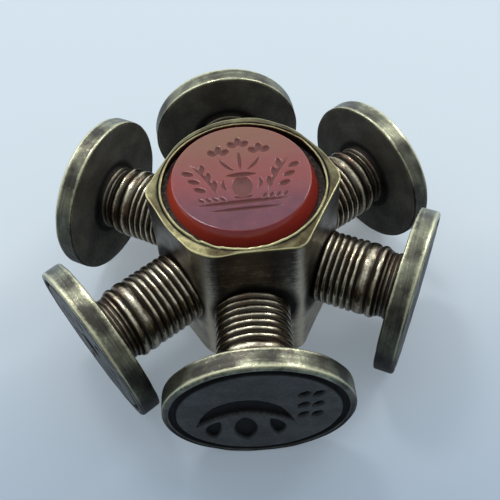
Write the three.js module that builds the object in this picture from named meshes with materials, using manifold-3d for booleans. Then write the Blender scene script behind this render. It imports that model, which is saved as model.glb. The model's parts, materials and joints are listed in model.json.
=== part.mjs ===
// A seal stamp with seven faces: six turned metal seals stand out like spokes from a hexagonal hub,
// and a carnelian cut with a vase of flowers is set in the hub's top.
// Millimetres, +Z up, with the origin in the middle of the hub's underside and the front seal towards -Y.
import * as THREE from "three";
import { mergeVertices } from "three/addons/utils/BufferGeometryUtils.js";
import Module from "manifold-3d";

const wasm = await Module();
wasm.setup();

// The carnelian: a flat engraved face and a sloping bevel down to the girdle, set a little off the middle
const STONE_FACE_RADIUS = 5.7;
const STONE_GIRDLE_RADIUS = 6.35;
const STONE_BEVEL_DROP = 1.45;
const STONE_THICKNESS = 3.2;
const STONE_PROUD = 1.05; // the face above the highest edge of any seal, so that it can be pressed into wax
const STONE_OFF_CENTRE = 0.2;
const STONE_OFF_BEARING = 125; // degrees anticlockwise from +X
const STONE_CUT_DEPTH = 0.22;

// The setting: a bed of cement under and round the stone, and a thin bezel that leans in over the cement
const CEMENT_WALL = 0.4;
const CEMENT_BED = 0.4;
const CEMENT_BELOW_BEZEL = 0.45;
const BEZEL_WALL = 0.16;
const BEZEL_LEAN = 0.1;
const BEZEL_BELOW_FACE = 0.45;
const BEZEL_ABOVE_HUB = 0.12;
const BEZEL_HEIGHT = 1.6;
const SEAT_GAP = 0.03; // between two pieces that are soldered, set or cemented together

// The hub
const HUB_WALL = 0.2; // beside the bezel, at the middle of a flat
const HUB_CORNER_RADII = [2, 5.5, 5.5, 1.6, 2.6, 1.5]; // worn or filed unevenly: from +X, anticlockwise
const HUB_EDGE_CHAMFER = 0.3;
const HUB_TOP_FALL = 0.15; // the top runs down by this much from the bezel to the corners
const FOOT_CLEARANCE = 0.1; // the underside below the lowest edge of any seal, so that the hub stands clear
const BASE_RING_RADIUS = 5.0;
const BASE_RING_WIDTH = 0.45;
const BASE_RING_DEPTH = 0.2;

// A seal's disc
const SEAL_RADIUS = 7.2;
const DISC_THICKNESS = 1.7;
const DISC_BACK_EDGE = 0.15;
const DISC_FACE_CHAMFER = 0.27;
const RING_MARGIN = 0.5; // from the rim to the engraved border ring
const RING_WIDTH = 0.62;
const RING_DEPTH = 0.3;
const DEVICE_DEPTH = 0.35;

// A seal's turned stem, from the hub outwards: ribs, a broad bead, a narrow bead, a cove and a neck
const STEM_RADIUS = 3.2;
const RIB_PITCH = 0.6;
const RIB_DEPTH = 0.22;
const BROAD_BEAD_LENGTH = 1.15;
const NARROW_BEAD_LENGTH = 0.75;
const BEAD_DEPTH = 0.2;
const COVE_LENGTH = 1.05;
const COVE_DEPTH = 0.42;
const NECK_LENGTH = 0.3;

// Fineness of the faceted solids
const STEM_SIDES = 14;
const DISC_SIDES = 28;
const SETTING_SIDES = 34;
const STROKE_SEGMENTS = 3;

// The six seals were turned and soldered by hand, so each has its own size and sits a little off its place.
// Turn is in degrees anticlockwise from the middle of its flat, seen from above. Lift is up from the shared
// axis. Droop is how many degrees the disc leans down on its stem. Wider is added to the disc's radius, and
// spread to the pitch of the ribs.
const SEALS = [
  {
    name: "seal_front", device: crescentAndDrops,
    turn: -2, lift: -0.05, droop: 0, wider: 0.3, ribs: 7, spread: 0.03,
  },
  {
    name: "seal_front_right", device: star,
    turn: 2.5, lift: 0, droop: 0, wider: -0.05, ribs: 6, spread: -0.03,
  },
  {
    name: "seal_back_right", device: sprig,
    turn: 1.5, lift: -0.4, droop: 0, wider: -0.2, ribs: 6, spread: 0,
  },
  {
    name: "seal_back", device: rosette,
    turn: 3, lift: -0.05, droop: 0, wider: 0, ribs: 6, spread: 0.02,
  },
  {
    name: "seal_back_left", device: crossedLeaves,
    turn: 0.5, lift: 0.5, droop: 0, wider: 0, ribs: 6, spread: -0.04,
  },
  {
    name: "seal_front_left", device: sunWheel,
    turn: 3.8, lift: 0.2, droop: 3.6, wider: -0.07, ribs: 7, spread: 0.02,
  },
];

// Heights above the underside, each worked out from what it has to clear or carry
const AXIS_Z = SEAL_RADIUS + Math.max(...SEALS.map((s) => s.wider - s.lift)) + FOOT_CLEARANCE;
const FACE_Z = AXIS_Z + SEAL_RADIUS + Math.max(...SEALS.map((s) => s.wider + s.lift)) + STONE_PROUD;
const STONE_BASE_Z = FACE_Z - STONE_THICKNESS;
const BEZEL_Z = FACE_Z - BEZEL_BELOW_FACE;
const CEMENT_Z = BEZEL_Z - CEMENT_BELOW_BEZEL;
const HUB_TOP_Z = BEZEL_Z - BEZEL_ABOVE_HUB;
const BEZEL_LOW_Z = BEZEL_Z - BEZEL_HEIGHT;
const CUP_FLOOR_Z = STONE_BASE_Z - CEMENT_BED - 2 * SEAT_GAP;

// Radii of the setting, from the stone outwards, to the hub's flats
const CEMENT_RADIUS = STONE_GIRDLE_RADIUS + SEAT_GAP + CEMENT_WALL;
const BEZEL_INNER_RADIUS = CEMENT_RADIUS + SEAT_GAP;
const BEZEL_OUTER_RADIUS = BEZEL_INNER_RADIUS + BEZEL_WALL;
const CUP_RADIUS = BEZEL_OUTER_RADIUS + SEAT_GAP;
const HUB_FLAT = CUP_RADIUS + HUB_WALL;
const HUB_CORNER = HUB_FLAT / Math.cos(Math.PI / 6);

const STEM_MOULDINGS = BROAD_BEAD_LENGTH + NARROW_BEAD_LENGTH + COVE_LENGTH + NECK_LENGTH;
const OVERRUN = 0.5; // how far a tool runs past the surface it cuts, or a stem into its disc

// A closed geometry as a solid that can be joined and cut
function solid(geometry) {
  geometry.deleteAttribute("normal");
  geometry.deleteAttribute("uv");
  const merged = mergeVertices(geometry, 1e-4);
  const mesh = new wasm.Mesh({
    numProp: 3,
    vertProperties: merged.attributes.position.array,
    triVerts: new Uint32Array(merged.index.array),
  });
  return new wasm.Manifold(mesh);
}

function geometryOf(manifold) {
  const mesh = manifold.getMesh();
  const geometry = new THREE.BufferGeometry();
  geometry.setAttribute("position", new THREE.BufferAttribute(mesh.vertProperties, 3));
  geometry.setIndex(new THREE.BufferAttribute(mesh.triVerts, 1));
  return geometry;
}

// A profile of [radius, height] pairs turned round the Z axis, from the bottom of the axis to its top
function turned(profile, sides) {
  const points = profile.map(([radius, height]) => new THREE.Vector2(radius, height));
  return new THREE.LatheGeometry(points, sides).rotateX(Math.PI / 2);
}

// Points along half a turn of a bead, or of a cove where bulge is negative, without its first end
function arcProfile(start, length, radius, bulge, steps) {
  return Array.from({ length: steps }, (_, i) => {
    const share = (i + 1) / steps;
    return [radius + bulge * Math.sin(Math.PI * share), start + length * share];
  });
}

function extruded(shape, depth, curveSegments) {
  return new THREE.ExtrudeGeometry(shape, { depth, bevelEnabled: false, curveSegments });
}

// A leaf-shaped stroke from one point to another: width is its full width, bend bows it to the left
function leaf([x0, y0], [x1, y1], width, bend = 0) {
  const along = new THREE.Vector2(x1 - x0, y1 - y0);
  const left = new THREE.Vector2(-along.y, along.x).normalize();
  const middle = new THREE.Vector2((x0 + x1) / 2, (y0 + y1) / 2);
  const bow = (sideways) => middle.clone().addScaledVector(left, 2 * bend + sideways);
  const right = bow(-width);
  const back = bow(width);
  const shape = new THREE.Shape().moveTo(x0, y0);
  shape.quadraticCurveTo(right.x, right.y, x1, y1);
  shape.quadraticCurveTo(back.x, back.y, x0, y0);
  return shape;
}

function pit([x, y], radius) {
  return new THREE.Shape().absarc(x, y, radius, 0, 2 * Math.PI);
}

function polar(radius, degrees, [x, y] = [0, 0]) {
  const angle = THREE.MathUtils.degToRad(degrees);
  return [x + radius * Math.cos(angle), y + radius * Math.sin(angle)];
}

// The devices cut into the six seals, each in a field of the given radius

// A broad crescent with its points down, three drops below it, and three rows of ticks beside it
function crescentAndDrops(field) {
  const x = -0.18 * field;
  const y = -0.1 * field;
  const tips = [polar(0.64 * field, 196, [x, y]), polar(0.64 * field, -16, [x, y])];
  const crescent = leaf(...tips, 0.38 * field, 0.5 * field);
  const drop = leaf([x, y + 0.04 * field], [x, y - 0.64 * field], 0.3 * field);
  const sides = [-1, 1].map((s) =>
    leaf([x + s * 0.31 * field, y - 0.05 * field], [x + s * 0.4 * field, y - 0.54 * field],
      0.2 * field, s * 0.05 * field));
  const ticks = [0.38, 0.11, -0.16].flatMap((up) => [0.47, 0.64].map((across) =>
    leaf([across * field, up * field], [(across + 0.12) * field, (up + 0.14) * field], 0.09 * field)));
  return [crescent, drop, ...sides, ...ticks];
}

function star(field) {
  const rays = Array.from({ length: 6 }, (_, i) =>
    leaf(polar(0.17 * field, 60 * i + 30), polar(0.74 * field, 60 * i + 30), 0.2 * field));
  return [...rays, pit([0, 0], 0.1 * field)];
}

function sprig(field) {
  const stalk = leaf([0, -0.75 * field], [0, 0.75 * field], 0.1 * field);
  const leaves = [-0.4, -0.08, 0.24].flatMap((y) => [-1, 1].map((s) =>
    leaf([s * 0.1 * field, y * field], [s * 0.46 * field, (y + 0.3) * field],
      0.16 * field, s * 0.03 * field)));
  return [stalk, ...leaves];
}

function rosette(field) {
  const petals = Array.from({ length: 8 }, (_, i) =>
    leaf(polar(0.22 * field, 45 * i), polar(0.66 * field, 45 * i), 0.24 * field));
  return [...petals, pit([0, 0], 0.12 * field)];
}

function crossedLeaves(field) {
  const leaves = [45, 135, 225, 315].map((a) =>
    leaf(polar(0.1 * field, a), polar(0.76 * field, a), 0.19 * field, 0.05 * field));
  const pits = [0, 90, 180, 270].map((a) => pit(polar(0.48 * field, a), 0.09 * field));
  return [...leaves, ...pits];
}

function sunWheel(field) {
  const rays = Array.from({ length: 9 }, (_, i) =>
    leaf(polar(0.42 * field, 40 * i + 10), polar(0.76 * field, 40 * i + 10), 0.12 * field));
  return [...rays, pit([0, 0], 0.22 * field)];
}

// The picture cut into the carnelian: a footed vase with two handles and three flowers between two leafy
// sprays, on a double ground line
function vase(face) {
  const lip = leaf([-0.2 * face, 0.02 * face], [0.2 * face, 0.02 * face], 0.07 * face);
  const body = leaf([0, -0.38 * face], [0, -0.03 * face], 0.3 * face);
  const foot = leaf([-0.15 * face, -0.4 * face], [0.15 * face, -0.4 * face], 0.07 * face);
  const handles = [-1, 1].map((s) =>
    leaf([s * 0.24 * face, -0.04 * face], [s * 0.2 * face, -0.27 * face], 0.06 * face, s * 0.05 * face));
  return [lip, body, foot, ...handles];
}

function flowers(face) {
  return [-1, 0, 1].flatMap((s) => {
    const tip = [s * 0.3 * face, (0.58 - 0.14 * s * s) * face];
    const root = [s * 0.08 * face, 0.1 * face];
    const stalk = leaf(root, [tip[0], tip[1] - 0.06 * face], 0.035 * face, -s * 0.03 * face);
    const petals = [30, 90, 150].map((a) =>
      leaf(polar(0.03 * face, a, tip), polar(0.17 * face, a, tip), 0.085 * face));
    return [stalk, ...petals];
  });
}

function spray(face, side) {
  const root = [side * 0.34 * face, -0.38 * face];
  const stalk = leaf(root, [side * 0.74 * face, 0.3 * face], 0.035 * face, side * 0.05 * face);
  const leaves = [0.18, 0.44, 0.7].flatMap((along) => [-1, 1].map((bank) => {
    const foot = [side * (0.4 + 0.32 * along + 0.05 * bank) * face, (-0.36 + 0.64 * along) * face];
    const bearing = side > 0 ? 60 - 38 * bank : 120 + 38 * bank;
    return leaf(foot, polar(0.19 * face, bearing, foot), 0.07 * face);
  }));
  return [stalk, ...leaves];
}

function ground(face) {
  return [leaf([-0.7 * face, -0.5 * face], [0.7 * face, -0.48 * face], 0.06 * face),
    leaf([-0.54 * face, -0.62 * face], [0.58 * face, -0.61 * face], 0.045 * face)];
}

function stonePicture(face) {
  return [...vase(face), ...flowers(face), ...spray(face, -1), ...spray(face, 1), ...ground(face)];
}

// The strokes of a device joined into one cutter, which reaches from depth below the XY plane to above it
function cutter(strokes, depth) {
  return strokes
    .map((shape) => solid(extruded(shape, depth + OVERRUN, STROKE_SEGMENTS).translate(0, 0, -depth)))
    .reduce((all, stroke) => all.add(stroke));
}

// The hub's hexagon with sharp corners, grown by gap, with its lower edge cut back by chamfer
function hexagon(gap, chamfer) {
  const corner = (HUB_FLAT + gap) / Math.cos(Math.PI / 6);
  const top = HUB_TOP_Z + OVERRUN;
  const profile = [[0, 0], [corner - chamfer, 0], [corner, chamfer], [corner, top], [0, top]];
  return solid(turned(profile, 6).rotateZ(Math.PI / 6));
}

// A hexagon with round corners and its flats in line with the hub's
function hubOutline() {
  const shape = new THREE.Shape();
  const half = Math.PI / 6;
  HUB_CORNER_RADII.forEach((radius, corner) => {
    const angle = corner * Math.PI / 3;
    const distance = (HUB_FLAT - radius) / Math.cos(half);
    shape.absarc(distance * Math.cos(angle), distance * Math.sin(angle), radius, angle - half, angle + half);
  });
  return shape;
}

// From a seal's own frame, face up on the Z axis, to its place on the hub
function sealPlace(each) {
  const bearing = THREE.MathUtils.degToRad(60 * SEALS.indexOf(each) - 90 + each.turn);
  return new THREE.Matrix4()
    .makeRotationZ(bearing)
    .multiply(new THREE.Matrix4().makeTranslation(0, 0, AXIS_Z + each.lift))
    .multiply(new THREE.Matrix4().makeRotationY(Math.PI / 2))
    .multiply(new THREE.Matrix4().makeRotationZ(Math.PI / 2));
}

function sealRadius(each) {
  return SEAL_RADIUS + each.wider;
}

function ribbedLength(each) {
  return each.ribs * (RIB_PITCH + each.spread);
}

function stemProfile(each) {
  const valley = STEM_RADIUS - RIB_DEPTH;
  const beadEnd = STEM_RADIUS - BEAD_DEPTH;
  const start = HUB_FLAT + SEAT_GAP;
  const pitch = RIB_PITCH + each.spread;
  const ribs = Array.from({ length: each.ribs }, (_, i) => [
    [STEM_RADIUS, start + (i + 0.5) * pitch],
    [valley, start + (i + 1) * pitch],
  ]).flat();
  const broad = start + ribbedLength(each);
  const narrow = broad + BROAD_BEAD_LENGTH;
  const cove = narrow + NARROW_BEAD_LENGTH;
  const disc = cove + COVE_LENGTH + NECK_LENGTH;
  return [
    [0, start - OVERRUN],
    [valley, start - OVERRUN],
    [valley, start],
    ...ribs,
    ...arcProfile(broad, BROAD_BEAD_LENGTH, beadEnd, BEAD_DEPTH, 2),
    ...arcProfile(narrow, NARROW_BEAD_LENGTH, beadEnd, BEAD_DEPTH, 2),
    ...arcProfile(cove, COVE_LENGTH, beadEnd, BEAD_DEPTH - COVE_DEPTH, 2),
    [beadEnd, disc + OVERRUN],
    [0, disc + OVERRUN],
  ];
}

// The disc's profile, with its face at height 0 and its back below
function discProfile(radius) {
  const ring = radius - RING_MARGIN;
  return [
    [0, -DISC_THICKNESS],
    [radius - DISC_BACK_EDGE, -DISC_THICKNESS],
    [radius, DISC_BACK_EDGE - DISC_THICKNESS],
    [radius, -DISC_FACE_CHAMFER],
    [radius - DISC_FACE_CHAMFER, 0],
    [ring, 0],
    [ring - RING_WIDTH / 2, -RING_DEPTH],
    [ring - RING_WIDTH, 0],
    [0, 0],
  ];
}

// A seal: its stem and its disc with the device in one piece, cut to sit against the hub's flat
function seal(each) {
  const face = HUB_FLAT + SEAT_GAP + ribbedLength(each) + STEM_MOULDINGS + DISC_THICKNESS;
  const field = sealRadius(each) - RING_MARGIN - RING_WIDTH;
  const stem = solid(turned(stemProfile(each), STEM_SIDES));
  const disc = solid(turned(discProfile(sealRadius(each)), DISC_SIDES))
    .subtract(cutter(each.device(field), DEVICE_DEPTH))
    .rotate([each.droop, 0, 0])
    .translate([0, 0, face]);
  const piece = geometryOf(stem.add(disc));
  return solid(piece.applyMatrix4(sealPlace(each))).subtract(hexagon(SEAT_GAP, 0));
}

// The hub: a hexagonal block with a cup for the stone and a ring cut in its underside
function hub() {
  const fall = HUB_TOP_FALL / (HUB_CORNER - CUP_RADIUS);
  const past = HUB_CORNER + OVERRUN;
  const roof = solid(turned([
    [0, -OVERRUN],
    [past, -OVERRUN],
    [past, HUB_TOP_Z - fall * (past - CUP_RADIUS)],
    [CUP_RADIUS, HUB_TOP_Z],
    [0, HUB_TOP_Z],
  ], SETTING_SIDES));
  const cup = solid(turned([
    [0, CUP_FLOOR_Z],
    [CEMENT_RADIUS + SEAT_GAP, CUP_FLOOR_Z],
    [CEMENT_RADIUS + SEAT_GAP, BEZEL_LOW_Z - SEAT_GAP],
    [CUP_RADIUS, BEZEL_LOW_Z - SEAT_GAP],
    [CUP_RADIUS, HUB_TOP_Z + OVERRUN],
    [0, HUB_TOP_Z + OVERRUN],
  ], SETTING_SIDES));
  const ring = solid(turned([
    [BASE_RING_RADIUS - BASE_RING_WIDTH / 2, -OVERRUN],
    [BASE_RING_RADIUS + BASE_RING_WIDTH / 2, -OVERRUN],
    [BASE_RING_RADIUS + BASE_RING_WIDTH / 2, 0],
    [BASE_RING_RADIUS, BASE_RING_DEPTH],
    [BASE_RING_RADIUS - BASE_RING_WIDTH / 2, 0],
    [BASE_RING_RADIUS - BASE_RING_WIDTH / 2, -OVERRUN],
  ], SETTING_SIDES));
  const block = solid(extruded(hubOutline(), HUB_TOP_Z, STROKE_SEGMENTS));
  return block.intersect(hexagon(0, HUB_EDGE_CHAMFER)).intersect(roof).subtract(cup).subtract(ring);
}

// The bezel: a thin strip that stands round the stone and leans in over the cement
function bezel() {
  return solid(turned([
    [BEZEL_INNER_RADIUS, BEZEL_LOW_Z],
    [BEZEL_OUTER_RADIUS, BEZEL_LOW_Z],
    [BEZEL_OUTER_RADIUS, HUB_TOP_Z],
    [BEZEL_OUTER_RADIUS - BEZEL_LEAN, BEZEL_Z],
    [BEZEL_INNER_RADIUS - BEZEL_LEAN, BEZEL_Z],
    [BEZEL_INNER_RADIUS, BEZEL_LOW_Z],
  ], SETTING_SIDES));
}

// The uncut stone in its place, grown by gap all round
function stoneBlank(gap) {
  const [x, y] = polar(STONE_OFF_CENTRE, STONE_OFF_BEARING);
  return solid(turned([
    [0, STONE_BASE_Z - gap],
    [STONE_GIRDLE_RADIUS + gap, STONE_BASE_Z - gap],
    [STONE_GIRDLE_RADIUS + gap, FACE_Z - STONE_BEVEL_DROP],
    [STONE_FACE_RADIUS + gap, FACE_Z],
    [0, FACE_Z],
  ], SETTING_SIDES).translate(x, y, 0));
}

function carnelian() {
  const [x, y] = polar(STONE_OFF_CENTRE, STONE_OFF_BEARING);
  const picture = cutter(stonePicture(STONE_FACE_RADIUS), STONE_CUT_DEPTH);
  return stoneBlank(0).subtract(picture.translate([x, y, FACE_Z]));
}

// The cement: a dark bed under the stone that comes up round it to just below the bezel's edge
function cement() {
  const bed = solid(turned([
    [0, CUP_FLOOR_Z + SEAT_GAP],
    [CEMENT_RADIUS, CUP_FLOOR_Z + SEAT_GAP],
    [CEMENT_RADIUS - BEZEL_LEAN, CEMENT_Z],
    [0, CEMENT_Z],
  ], SETTING_SIDES));
  return bed.subtract(stoneBlank(SEAT_GAP));
}

const WORN_METAL = new THREE.MeshStandardMaterial({ color: 0x6f6753, roughness: 0.42, metalness: 1 });
const DARK_METAL = new THREE.MeshStandardMaterial({ color: 0x57504a, roughness: 0.32, metalness: 1 });
const BRIGHT_METAL = new THREE.MeshStandardMaterial({ color: 0x9a8f62, roughness: 0.4, metalness: 1 });
const CARNELIAN = new THREE.MeshStandardMaterial({ color: 0xa4432c, roughness: 0.15, metalness: 0 });
const CEMENT = new THREE.MeshStandardMaterial({ color: 0x2a1d17, roughness: 0.9, metalness: 0 });

const stamp = new THREE.Group();

function place(name, manifold, material) {
  const mesh = new THREE.Mesh(geometryOf(manifold), material);
  mesh.name = name;
  stamp.add(mesh);
}

place("hub", hub(), DARK_METAL);
place("bezel", bezel(), BRIGHT_METAL);
place("setting_cement", cement(), CEMENT);
place("carnelian", carnelian(), CARNELIAN);
SEALS.forEach((each) => place(each.name, seal(each), WORN_METAL));

export default stamp;
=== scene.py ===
# A hand-made seal stamp of aged brass: six turned seals round a hexagonal hub, with a carnelian in its top.
# Sizes are in millimetres in the making and become metres when a piece is placed.
import bmesh
import bpy
import json
import math
import numpy as np
from mathutils import Matrix, Vector, noise


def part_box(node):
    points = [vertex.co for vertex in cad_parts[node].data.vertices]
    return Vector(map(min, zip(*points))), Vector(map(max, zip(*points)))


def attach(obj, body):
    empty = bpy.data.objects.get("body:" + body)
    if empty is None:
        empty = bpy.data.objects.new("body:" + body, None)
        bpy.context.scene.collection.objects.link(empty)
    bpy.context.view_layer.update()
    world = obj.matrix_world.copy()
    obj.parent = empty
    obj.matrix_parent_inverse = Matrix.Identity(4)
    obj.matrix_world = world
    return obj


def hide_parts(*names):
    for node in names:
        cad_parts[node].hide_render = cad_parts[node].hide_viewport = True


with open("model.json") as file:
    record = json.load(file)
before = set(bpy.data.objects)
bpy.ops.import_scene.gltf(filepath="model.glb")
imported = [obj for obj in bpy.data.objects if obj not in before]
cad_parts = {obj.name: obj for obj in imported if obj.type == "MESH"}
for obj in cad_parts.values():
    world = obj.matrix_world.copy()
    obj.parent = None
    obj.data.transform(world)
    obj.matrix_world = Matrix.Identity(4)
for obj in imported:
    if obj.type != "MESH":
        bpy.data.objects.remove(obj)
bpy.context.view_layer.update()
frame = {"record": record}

MM = 0.001

# The carnelian and its setting
STONE_FACE_RADIUS = 5.7
STONE_GIRDLE_RADIUS = 6.35
STONE_BEVEL_DROP = 1.45
STONE_OFF_CENTRE = 0.2
STONE_OFF_BEARING = 125
STONE_EDGE_SOFTENING = 0.06
STONE_CUT_DEPTH = 0.3  # what the broadest strokes would reach; the narrow ones stay shallower
STONE_CUT_WALL = 0.6
CEMENT_WALL = 0.4
CEMENT_HIGH_SIDE = (195, 75, 0.45)  # bearing and half width in degrees, and how much lower the rest is
BEZEL_WALL = 0.16
BEZEL_LEAN = 0.1
BEZEL_SPLITS = ((233, 5, 0.22), (246, 9, 0.12))  # bearing and half width in degrees, and how deep
SEAT_GAP = 0.03

# The hub
HUB_CORNER_RADII = (2, 5.5, 5.5, 1.6, 2.6, 1.5)  # from +X, anticlockwise
HUB_TOP_FALL = 0.15
HUB_EDGE_CHAMFER = 0.3
HUB_TOP_ROUND = 0.07
ROOT_SOIL_REACH = 1.1
# How far round a sharp corner the hub is pale: rubbing, widened into a painted highlight
CORNER_RUB_AND_HIGHLIGHT_DEGREES = 8
SHARP_CORNER = 3  # a corner with a smaller radius is rubbed bright
BASE_RING_RADIUS = 5.0
BASE_RING_WIDTH = 0.45
BASE_RING_DEPTH = 0.2
# Where the hub's upper edge was beaten outwards: the bearing and half width in degrees, and how far
RIM_BULGES = ((88, 34, 0.45), (214, 32, 0.32), (252, 12, 0.15), (22, 20, 0.17))
RIM_BULGE_HEIGHT = 1.3
RIM_BAND = 0.25  # how far down from the top the beaten metal looks as the bezel does

# The seals
DISC_THICKNESS = 1.7
DISC_BACK_EDGE = 0.15
DISC_FACE_CHAMFER = 0.27
RING_MARGIN = 0.5
RING_WIDTH = 0.62
RING_DEPTH = 0.3
DEVICE_DEPTH = 0.35
DEVICE_WALL = 0.2
CUT_ROUNDNESS = 0.7  # 1 would be a straight-sided groove; less makes its floor rounder
STEM_RADIUS = 3.2
STEM_AXIS_Z = 7.65
RIB_DEPTH = 0.26
BROAD_BEAD_LENGTH = 1.15
NARROW_BEAD_LENGTH = 0.75
BEAD_DEPTH = 0.24
COVE_LENGTH = 1.05
COVE_DEPTH = 0.42
NECK_LINE_HEIGHT = 0.07
SOCKET = 0.3  # how far a stem goes into the hub, and
STEM_END = 0.4  # into its disc, so that no gap shows where one leans

# The sizes of the patterns. Tarnish lies in patches about 2.4 across, the stone has clouds about 6 long and
# 3 deep, and its mottling is about 0.8 across. The metal's real tool marks are about 0.03 apart, its pits
# 0.05 across and the grit in the cement 0.1 across. These are too fine to show, so they are drawn coarser.
TARNISH_PATCH = 2.4
TOOL_MARK = 0.15
TOOL_MARK_LENGTH = 3.2
PIT = 0.32
GRIT = 0.25
STONE_CLOUD_LENGTH = 6
STONE_CLOUD_DEPTH = 3
STONE_MOTTLING = 0.8

# Unevenness of the surfaces: how far it goes in and out, and over what length
STEM_UNEVENNESS = (0.05, 0.9)
DISC_UNEVENNESS = (0.03, 1.6)
HUB_UNEVENNESS = (0.05, 2.2)

# Heights between which the darkening of the low parts, painted shade with some soil, thins out to nothing
LOW_SOIL_AND_SHADE_FULL_Z = 2.0
LOW_SOIL_AND_SHADE_END_Z = 13.8

# The ground: its half width, where its painted shade is deepest and where it ends, and how strongly it glows
# by itself as painted light
GROUND_HALF_WIDTH = 600
GROUND_SHADE_DEEPEST_Y = -30
GROUND_SHADE_END_Y = 5
GROUND_GLOW = 0.6

# How finely round pieces are turned, and how many rings of points an engraved face has
STEM_STEPS = 112
RIB_STEPS = 9
BEAD_STEPS_PER_MM = 14
COVE_STEPS = 24
HUB_STEPS = 360
HUB_WALL_ROWS = 40
CEMENT_STEPS = 300
CEMENT_ROWS = 16
SHOWN_FACE_STEPS = 440
HIDDEN_FACE_STEPS = 260
SHOWN_FACE_RINGS = 80
HIDDEN_FACE_RINGS = 44
STONE_STEPS = 520
STONE_RINGS = 110


def linear(hex_colour):
    """An sRGB hex colour as linear red, green, blue and alpha."""
    channels = [int(hex_colour[i:i + 2], 16) / 255 for i in (1, 3, 5)]
    return [c / 12.92 if c <= 0.04045 else ((c + 0.055) / 1.055) ** 2.4 for c in channels] + [1]


def polar(radius, degrees, centre=(0, 0)):
    angle = math.radians(degrees)
    return (centre[0] + radius * math.cos(angle), centre[1] + radius * math.sin(angle))


def swell(angle, middle, half_width):
    """1 at the middle bearing in degrees, falling smoothly to 0 at the half width."""
    away = abs((math.degrees(angle) - middle + 180) % 360 - 180) / half_width
    return 0.5 + 0.5 * math.cos(math.pi * min(away, 1))


# Strokes that the engraver cuts: each is the middle of the stroke and its half width along it

def leaf(start, end, width, bend=0):
    """A leaf-shaped stroke, pointed at both ends; bend bows it to the left."""
    along = Vector(end) - Vector(start)
    count = min(90, max(26, round(5 * along.length / width)))
    share = 0.5 - 0.49 * np.cos(np.linspace(0, math.pi, count))
    left = Vector((-along.y, along.x)).normalized()
    bow = 4 * bend * share * (1 - share)
    x = start[0] + along.x * share + left.x * bow
    y = start[1] + along.y * share + left.y * bow
    return np.stack([x, y], axis=1), 2 * width * share * (1 - share)


def pit(centre, radius):
    return np.array([centre]), np.array([radius])


# The devices on the seals, each drawn in parts of the radius of its field

def crescent_and_drops(field):
    """A broad crescent with its points down, three drops below it and three rows of ticks beside it."""
    x, y = centre = (-0.18 * field, -0.1 * field)
    left_tip, right_tip = (polar(0.64 * field, bearing, centre) for bearing in (196, -16))
    crescent = leaf(left_tip, right_tip, 0.38 * field, 0.5 * field)
    drop = leaf((x, y + 0.04 * field), (x, y - 0.64 * field), 0.3 * field)
    sides = [leaf((x + s * 0.31 * field, y - 0.05 * field), (x + s * 0.4 * field, y - 0.54 * field),
                  0.2 * field, s * 0.05 * field) for s in (-1, 1)]
    ticks = []
    for row in range(3):
        for tick in range(2):
            x, y = (0.47 + 0.17 * tick) * field, (0.38 - 0.27 * row) * field
            ticks.append(leaf((x, y), (x + 0.12 * field, y + 0.14 * field), 0.12 * field))
    return [crescent, drop, *sides, *ticks]


def star(field):
    rays = [leaf(polar(0.17 * field, bearing), polar(0.74 * field, bearing), 0.2 * field)
            for bearing in range(30, 390, 60)]
    return [*rays, pit((0, 0), 0.1 * field)]


def sprig(field):
    stalk = leaf((0, -0.75 * field), (0, 0.75 * field), 0.1 * field)
    leaves = [leaf((s * 0.1 * field, y * field), (s * 0.46 * field, (y + 0.3) * field),
                   0.16 * field, s * 0.03 * field)
              for y in (-0.4, -0.08, 0.24) for s in (-1, 1)]
    return [stalk, *leaves]


def rosette(field):
    petals = [leaf(polar(0.22 * field, bearing), polar(0.66 * field, bearing), 0.24 * field)
              for bearing in range(0, 360, 45)]
    return [*petals, pit((0, 0), 0.12 * field)]


def crossed_leaves(field):
    leaves = [leaf(polar(0.1 * field, bearing), polar(0.76 * field, bearing), 0.19 * field, 0.05 * field)
              for bearing in (45, 135, 225, 315)]
    pits = [pit(polar(0.48 * field, bearing), 0.09 * field) for bearing in (0, 90, 180, 270)]
    return [*leaves, *pits]


def sun_wheel(field):
    rays = [leaf(polar(0.42 * field, bearing), polar(0.76 * field, bearing), 0.12 * field)
            for bearing in range(10, 370, 40)]
    return [*rays, pit((0, 0), 0.22 * field)]


# The picture in the stone, drawn in parts of the radius of its face

def vase(face):
    lip = leaf((-0.23 * face, 0.02 * face), (0.23 * face, 0.02 * face), 0.1 * face)
    body = leaf((0, -0.38 * face), (0, -0.03 * face), 0.3 * face)
    foot = leaf((-0.15 * face, -0.4 * face), (0.15 * face, -0.4 * face), 0.07 * face)
    handles = [leaf((s * 0.24 * face, -0.04 * face), (s * 0.2 * face, -0.27 * face),
                    0.06 * face, s * 0.05 * face)
               for s in (-1, 1)]
    return [lip, body, foot, *handles]


def flowers(face):
    strokes = []
    for s in (-1, 0, 1):
        tip = (s * 0.3 * face, (0.58 - 0.14 * s * s) * face)
        root = (s * 0.08 * face, 0.1 * face)
        strokes.append(leaf(root, (tip[0], tip[1] - 0.06 * face), 0.055 * face, -s * 0.03 * face))
        strokes += [leaf(polar(0.03 * face, bearing, tip), polar(0.18 * face, bearing, tip), 0.12 * face)
                    for bearing in (30, 90, 150)]
    return strokes


def spray(face, side):
    root = (side * 0.34 * face, -0.38 * face)
    strokes = [leaf(root, (side * 0.74 * face, 0.3 * face), 0.055 * face, side * 0.05 * face)]
    for along in (0.18, 0.44, 0.7):
        for bank in (-1, 1):
            foot = (side * (0.4 + 0.32 * along + 0.05 * bank) * face, (-0.36 + 0.64 * along) * face)
            bearing = 60 - 38 * bank if side > 0 else 120 + 38 * bank
            strokes.append(leaf(foot, polar(0.2 * face, bearing, foot), 0.095 * face))
    return strokes


def ground(face):
    return [leaf((-0.7 * face, -0.5 * face), (0.7 * face, -0.48 * face), 0.085 * face),
            leaf((-0.54 * face, -0.62 * face), (0.58 * face, -0.61 * face), 0.065 * face)]


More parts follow.
